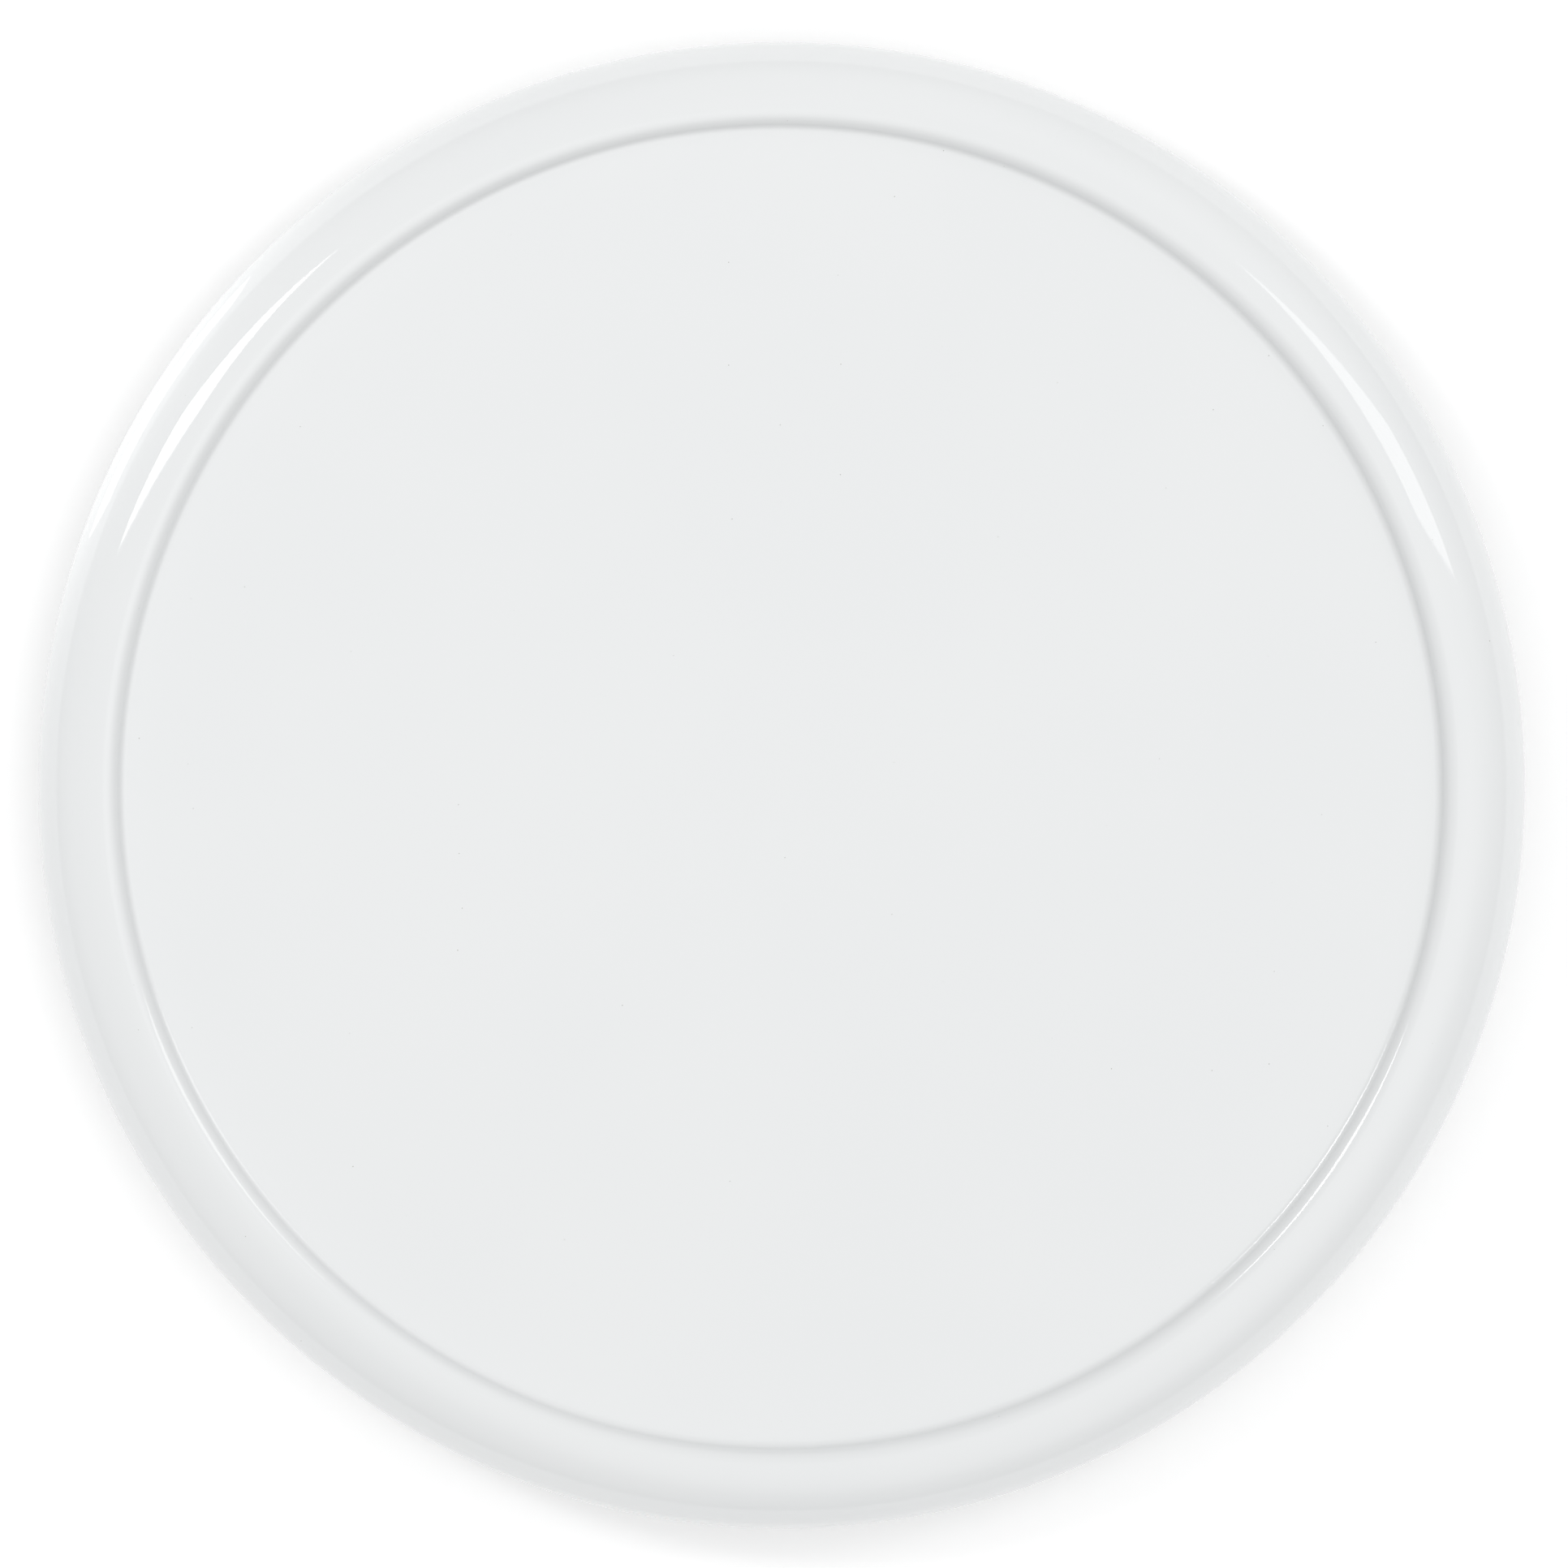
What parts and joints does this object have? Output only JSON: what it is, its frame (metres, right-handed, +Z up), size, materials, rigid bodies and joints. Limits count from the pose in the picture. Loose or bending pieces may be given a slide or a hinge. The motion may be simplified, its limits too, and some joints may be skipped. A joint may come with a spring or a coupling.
{
  "type": "lazy susan turntable",
  "caption": "Round kitchen turntable: a shallow tray with a rolled rim that spins on a caged ball bearing over a low footed base.",
  "frame": {"origin": "on the table, under the centre of the tray", "axes": "+Z up along the axis the tray turns about; X and Y across the tray, with a foot on +X"},
  "size_m": [0.305, 0.305, 0.029],
  "materials": {
    "tray_plastic": "gloss, injection moulded",
    "race_steel": "pressed strip, satin",
    "ball_steel": "polished",
    "cage_nylon": "natural nylon",
    "base_plastic": "satin, injection moulded",
    "bush_acetal": "smooth acetal",
    "washer_zinc": "zinc plated",
    "screw_zinc": "zinc plated",
    "cap_plastic": "satin",
    "foot_rubber": "matt"
  },
  "bodies": {
    "base": {"base": "base_plastic", "lower_race": "race_steel", "pivot_bush": "bush_acetal", "base_cap": "cap_plastic", "foot_1": "foot_rubber", "foot_2": "foot_rubber", "foot_3": "foot_rubber", "foot_4": "foot_rubber", "foot_5": "foot_rubber", "foot_6": "foot_rubber"},
    "tray": {"tray": "tray_plastic", "upper_race": "race_steel", "pivot_screw": "screw_zinc", "pivot_washer": "washer_zinc"},
    "cage": {"ball_cage": "cage_nylon"},
    "ball_01": {"ball_01": "ball_steel"},
    "ball_02": {"ball_02": "ball_steel"},
    "ball_03": {"ball_03": "ball_steel"},
    "ball_04": {"ball_04": "ball_steel"},
    "ball_05": {"ball_05": "ball_steel"},
    "ball_06": {"ball_06": "ball_steel"},
    "ball_07": {"ball_07": "ball_steel"},
    "ball_08": {"ball_08": "ball_steel"},
    "ball_09": {"ball_09": "ball_steel"},
    "ball_10": {"ball_10": "ball_steel"},
    "ball_11": {"ball_11": "ball_steel"},
    "ball_12": {"ball_12": "ball_steel"}
  },
  "joints": [
    {"name": "tray_spin", "type": "hinge", "parent": "base", "child": "tray", "pos_m": [0, 0, 0.026], "axis": [0, 0, 1], "continuous": true},
    {"name": "cage_spin", "type": "hinge", "parent": "base", "child": "cage", "pos_m": [0, 0, 0.01505], "axis": [0, 0, 1], "continuous": true},
    {"name": "ball_01_roll", "type": "hinge", "parent": "cage", "child": "ball_01", "pos_m": [0.072, 0, 0.01505], "axis": [1, 0, 0], "continuous": true},
    {"name": "ball_02_roll", "type": "hinge", "parent": "cage", "child": "ball_02", "pos_m": [0.06235, 0.036, 0.01505], "axis": [0.866, 0.5, 0], "continuous": true},
    {"name": "ball_03_roll", "type": "hinge", "parent": "cage", "child": "ball_03", "pos_m": [0.036, 0.06235, 0.01505], "axis": [0.5, 0.866, 0], "continuous": true},
    {"name": "ball_04_roll", "type": "hinge", "parent": "cage", "child": "ball_04", "pos_m": [0, 0.072, 0.01505], "axis": [0, 1, 0], "continuous": true},
    {"name": "ball_05_roll", "type": "hinge", "parent": "cage", "child": "ball_05", "pos_m": [-0.036, 0.06235, 0.01505], "axis": [-0.5, 0.866, 0], "continuous": true},
    {"name": "ball_06_roll", "type": "hinge", "parent": "cage", "child": "ball_06", "pos_m": [-0.06235, 0.036, 0.01505], "axis": [-0.866, 0.5, 0], "continuous": true},
    {"name": "ball_07_roll", "type": "hinge", "parent": "cage", "child": "ball_07", "pos_m": [-0.072, 0, 0.01505], "axis": [-1, 0, 0], "continuous": true},
    {"name": "ball_08_roll", "type": "hinge", "parent": "cage", "child": "ball_08", "pos_m": [-0.06235, -0.036, 0.01505], "axis": [-0.866, -0.5, 0], "continuous": true},
    {"name": "ball_09_roll", "type": "hinge", "parent": "cage", "child": "ball_09", "pos_m": [-0.036, -0.06235, 0.01505], "axis": [-0.5, -0.866, 0], "continuous": true},
    {"name": "ball_10_roll", "type": "hinge", "parent": "cage", "child": "ball_10", "pos_m": [0, -0.072, 0.01505], "axis": [0, -1, 0], "continuous": true},
    {"name": "ball_11_roll", "type": "hinge", "parent": "cage", "child": "ball_11", "pos_m": [0.036, -0.06235, 0.01505], "axis": [0.5, -0.866, 0], "continuous": true},
    {"name": "ball_12_roll", "type": "hinge", "parent": "cage", "child": "ball_12", "pos_m": [0.06235, -0.036, 0.01505], "axis": [0.866, -0.5, 0], "continuous": true}
  ],
  "couplings": [
    {"joint": "cage_spin", "follows": "tray_spin", "ratio": 0.5},
    {"joint": "ball_01_roll", "follows": "tray_spin", "ratio": -12},
    {"joint": "ball_02_roll", "follows": "tray_spin", "ratio": -12},
    {"joint": "ball_03_roll", "follows": "tray_spin", "ratio": -12},
    {"joint": "ball_04_roll", "follows": "tray_spin", "ratio": -12},
    {"joint": "ball_05_roll", "follows": "tray_spin", "ratio": -12},
    {"joint": "ball_06_roll", "follows": "tray_spin", "ratio": -12},
    {"joint": "ball_07_roll", "follows": "tray_spin", "ratio": -12},
    {"joint": "ball_08_roll", "follows": "tray_spin", "ratio": -12},
    {"joint": "ball_09_roll", "follows": "tray_spin", "ratio": -12},
    {"joint": "ball_10_roll", "follows": "tray_spin", "ratio": -12},
    {"joint": "ball_11_roll", "follows": "tray_spin", "ratio": -12},
    {"joint": "ball_12_roll", "follows": "tray_spin", "ratio": -12}
  ]
}
